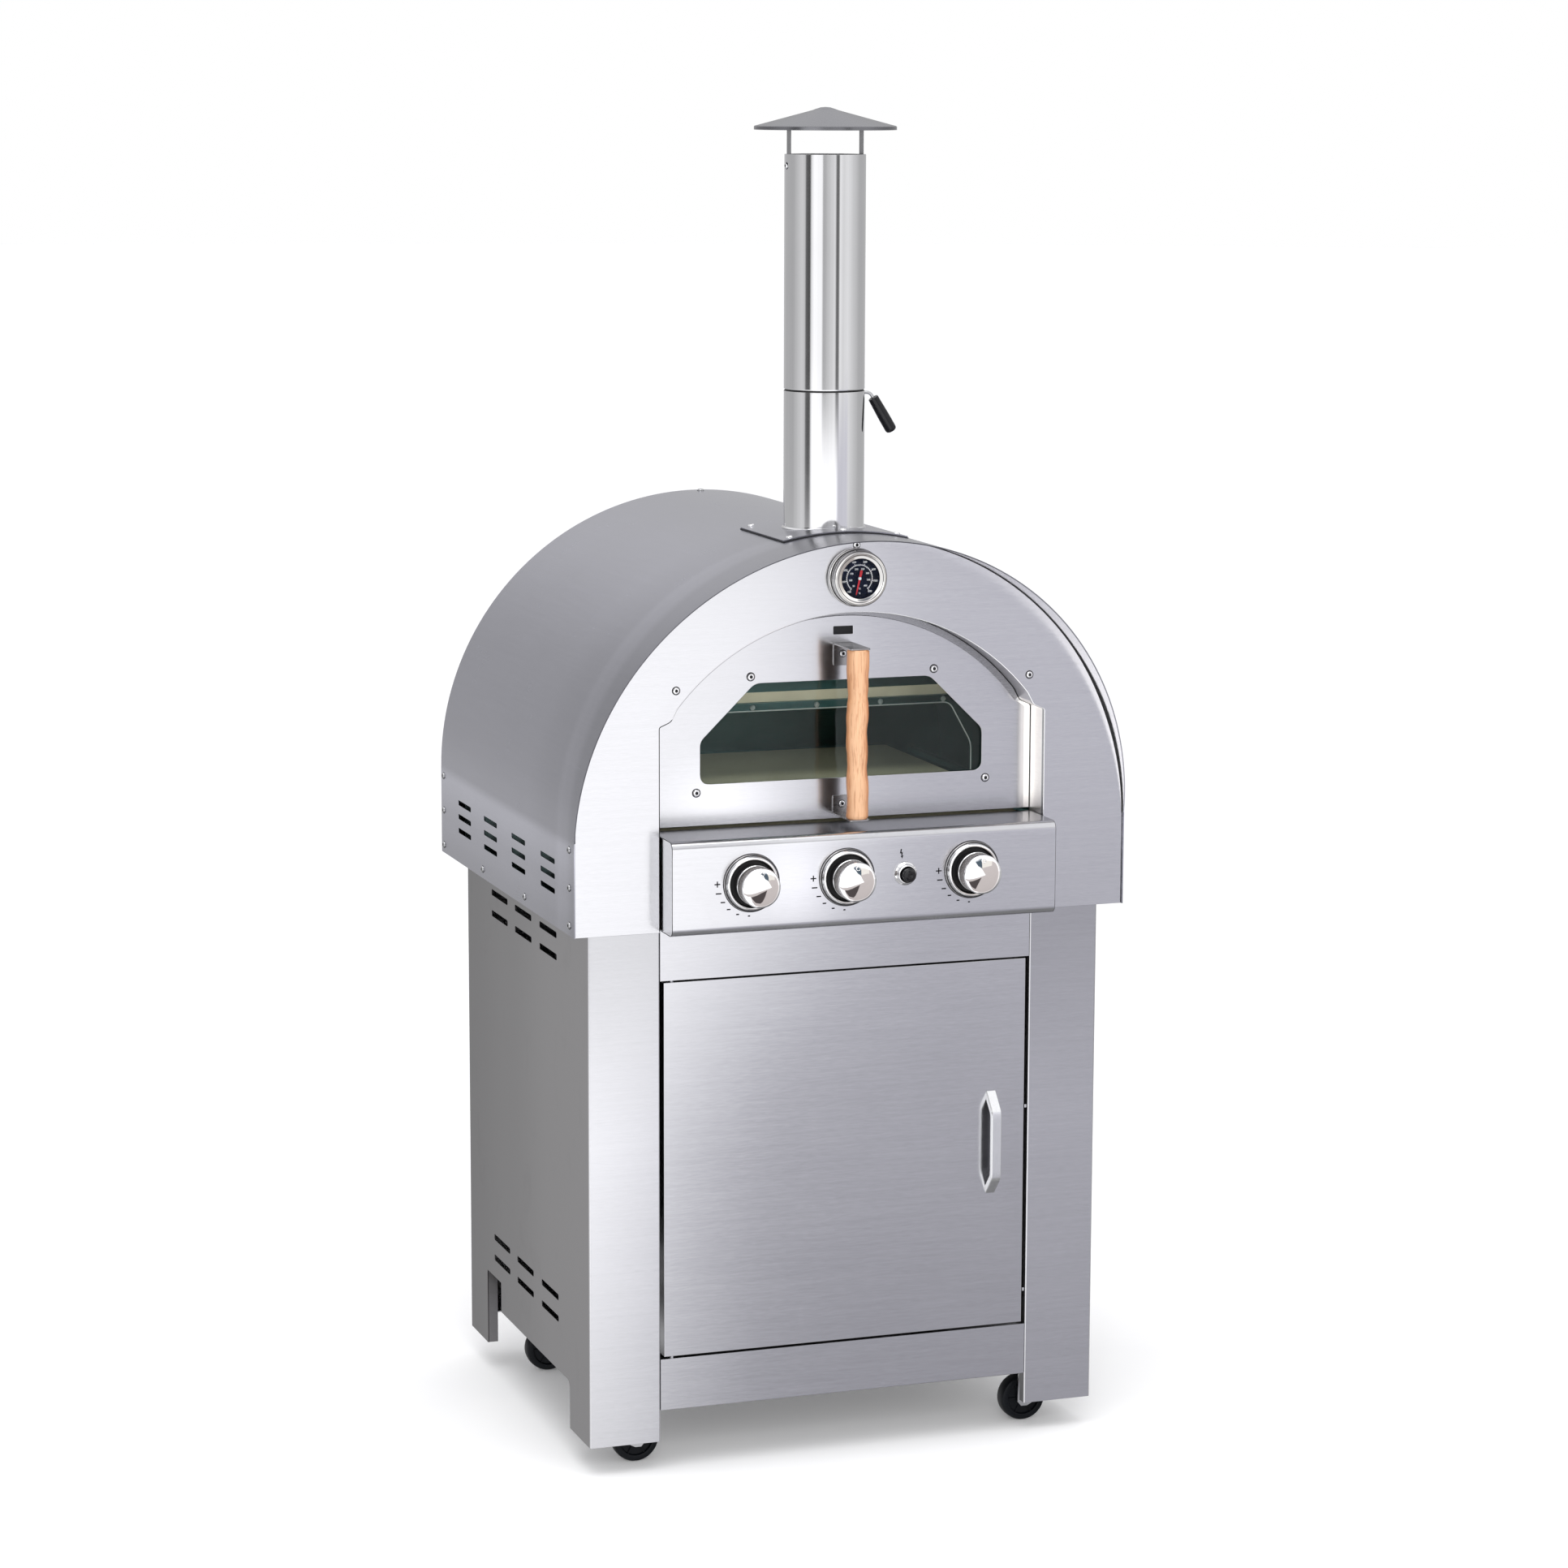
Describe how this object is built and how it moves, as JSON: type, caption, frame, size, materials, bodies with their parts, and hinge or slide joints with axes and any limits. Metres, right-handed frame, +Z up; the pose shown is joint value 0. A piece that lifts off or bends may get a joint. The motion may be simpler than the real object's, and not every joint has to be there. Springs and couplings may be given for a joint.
{
  "type": "gas pizza oven",
  "caption": "Free-standing gas pizza oven: arched stainless hood with lift-out window door, thermometer, chimney with damper, control panel, and a wheeled cabinet with a hinged door.",
  "frame": {"origin": "on the floor, under the middle of the whole object's bounding box", "axes": "+Z up; -Y is the front with the oven door, the knobs and the cabinet door; +X is the viewer's right when looking at the front"},
  "size_m": [0.72, 0.7108, 1.678],
  "materials": {
    "brushed_steel": "horizontally brushed stainless sheet",
    "cabinet_steel": "brushed stainless sheet, darker",
    "polished_steel": "mirror polished",
    "liner_steel": "heat-tinted inner sheet",
    "zinc_plated": "zinc-plated steel",
    "brass": "turned brass gas fittings",
    "aluminium": "satin",
    "stone": "matt cordierite",
    "wood": "lightly oiled round branch",
    "oven_glass": "dark tinted heat-resistant glass",
    "clear_glass": "clear dial cover",
    "dial_black": "black printed dial",
    "needle_red": "red painted needle",
    "gloss_black": "moulded, glossy",
    "wheel_black": "moulded wheel"
  },
  "bodies": {
    "oven_and_cabinet": {"hood_shell": "brushed_steel", "front_fascia": "brushed_steel", "rear_panel": "brushed_steel", "oven_base_tray": "cabinet_steel", "inner_vault": "liner_steel", "liner_back_wall": "liner_steel", "smoke_baffle": "liner_steel", "pizza_stone": "stone", "stone_support": "zinc_plated", "burner_left": "liner_steel", "burner_right": "liner_steel", "burner_rear": "liner_steel", "gas_manifold": "brass", "igniter_housing": "polished_steel", "control_panel": "brushed_steel", "thermometer_case": "polished_steel", "thermometer_dial": "dial_black", "thermometer_lens": "clear_glass", "chimney_base_plate": "brushed_steel", "chimney_lower_pipe": "polished_steel", "chimney_upper_pipe": "polished_steel", "chimney_cap": "polished_steel", "cabinet_side_left": "cabinet_steel", "cabinet_side_right": "cabinet_steel", "cabinet_back_panel": "cabinet_steel", "cabinet_floor": "cabinet_steel", "front_top_rail": "brushed_steel", "front_bottom_rail": "brushed_steel", "gas_valve_left": "brass", "gas_valve_centre": "brass", "gas_valve_right": "brass", "knob_bezel_left": "polished_steel", "knob_bezel_centre": "polished_steel", "knob_bezel_right": "polished_steel"},
    "oven_door": {"door_panel": "brushed_steel", "door_glass": "oven_glass", "door_glass_retainer": "zinc_plated", "door_handle_grip": "wood", "handle_bracket_upper": "brushed_steel", "handle_bracket_lower": "brushed_steel"},
    "cabinet_door": {"cabinet_door": "brushed_steel", "cabinet_door_pull": "aluminium"},
    "damper": {"damper_plate": "cabinet_steel", "damper_grip": "gloss_black"},
    "gauge_needle": {"thermometer_needle": "needle_red"},
    "igniter_button": {"igniter_button": "gloss_black"},
    "stem_left": {"valve_stem_left": "brass"},
    "knob_left": {"knob_left": "polished_steel"},
    "stem_centre": {"valve_stem_centre": "brass"},
    "knob_centre": {"knob_centre": "polished_steel"},
    "stem_right": {"valve_stem_right": "brass"},
    "knob_right": {"knob_right": "polished_steel"},
    "caster_front_left": {"caster_fork_front_left": "zinc_plated"},
    "wheel_front_left": {"caster_wheel_front_left": "wheel_black"},
    "caster_front_right": {"caster_fork_front_right": "zinc_plated"},
    "wheel_front_right": {"caster_wheel_front_right": "wheel_black"},
    "caster_rear_left": {"caster_fork_rear_left": "zinc_plated"},
    "wheel_rear_left": {"caster_wheel_rear_left": "wheel_black"},
    "caster_rear_right": {"caster_fork_rear_right": "zinc_plated"},
    "wheel_rear_right": {"caster_wheel_rear_right": "wheel_black"}
  },
  "joints": [
    {"name": "oven_door_lift_out", "type": "slide", "parent": "oven_and_cabinet", "child": "oven_door", "axis": [0, -1, 0], "range_m": [0, 0.3]},
    {"name": "cabinet_door_hinge", "type": "hinge", "parent": "oven_and_cabinet", "child": "cabinet_door", "pos_m": [-0.2264, -0.2371, 0.4], "axis": [0, 0, -1], "range_deg": [0, 110]},
    {"name": "damper_turn", "type": "hinge", "parent": "oven_and_cabinet", "child": "damper", "pos_m": [0, -0.1514, 1.329], "axis": [1, 0, 0], "range_deg": [0, 90]},
    {"name": "thermometer_needle_turn", "type": "hinge", "parent": "oven_and_cabinet", "child": "gauge_needle", "pos_m": [0, -0.282, 1.1135], "axis": [0, 1, 0], "range_deg": [0, 300]},
    {"name": "igniter_push", "type": "slide", "parent": "oven_and_cabinet", "child": "igniter_button", "axis": [0, 1, 0], "range_m": [0, 0.005], "stiffness_N_per_m": 900, "springref_m": -0.001},
    {"name": "knob_left_turn", "type": "hinge", "parent": "oven_and_cabinet", "child": "stem_left", "pos_m": [-0.149, -0.3184, 0.752], "axis": [0, -1, 0], "range_deg": [0, 200]},
    {"name": "knob_left_push", "type": "slide", "parent": "stem_left", "child": "knob_left", "axis": [0, 1, 0], "range_m": [0, 0.003], "stiffness_N_per_m": 1200, "springref_m": -0.001},
    {"name": "knob_centre_turn", "type": "hinge", "parent": "oven_and_cabinet", "child": "stem_centre", "pos_m": [-0.026, -0.3184, 0.752], "axis": [0, -1, 0], "range_deg": [0, 200]},
    {"name": "knob_centre_push", "type": "slide", "parent": "stem_centre", "child": "knob_centre", "axis": [0, 1, 0], "range_m": [0, 0.003], "stiffness_N_per_m": 1200, "springref_m": -0.001},
    {"name": "knob_right_turn", "type": "hinge", "parent": "oven_and_cabinet", "child": "stem_right", "pos_m": [0.1375, -0.3184, 0.752], "axis": [0, -1, 0], "range_deg": [0, 200]},
    {"name": "knob_right_push", "type": "slide", "parent": "stem_right", "child": "knob_right", "axis": [0, 1, 0], "range_m": [0, 0.003], "stiffness_N_per_m": 1200, "springref_m": -0.001},
    {"name": "caster_front_left_swivel", "type": "hinge", "parent": "oven_and_cabinet", "child": "caster_front_left", "pos_m": [-0.279, -0.1924, 0.07], "axis": [0, 0, 1], "continuous": true},
    {"name": "wheel_front_left_spin", "type": "hinge", "parent": "caster_front_left", "child": "wheel_front_left", "pos_m": [-0.262, -0.1924, 0.03], "axis": [0, 1, 0], "continuous": true},
    {"name": "caster_front_right_swivel", "type": "hinge", "parent": "oven_and_cabinet", "child": "caster_front_right", "pos_m": [0.279, -0.1924, 0.07], "axis": [0, 0, 1], "continuous": true},
    {"name": "wheel_front_right_spin", "type": "hinge", "parent": "caster_front_right", "child": "wheel_front_right", "pos_m": [0.262, -0.1924, 0.03], "axis": [0, 1, 0], "continuous": true},
    {"name": "caster_rear_left_swivel", "type": "hinge", "parent": "oven_and_cabinet", "child": "caster_rear_left", "pos_m": [-0.276, 0.2096, 0.07], "axis": [0, 0, 1], "continuous": true},
    {"name": "wheel_rear_left_spin", "type": "hinge", "parent": "caster_rear_left", "child": "wheel_rear_left", "pos_m": [-0.259, 0.2096, 0.03], "axis": [0, 1, 0], "continuous": true},
    {"name": "caster_rear_right_swivel", "type": "hinge", "parent": "oven_and_cabinet", "child": "caster_rear_right", "pos_m": [0.276, 0.2096, 0.07], "axis": [0, 0, 1], "continuous": true},
    {"name": "wheel_rear_right_spin", "type": "hinge", "parent": "caster_rear_right", "child": "wheel_rear_right", "pos_m": [0.259, 0.2096, 0.03], "axis": [0, 1, 0], "continuous": true}
  ]
}
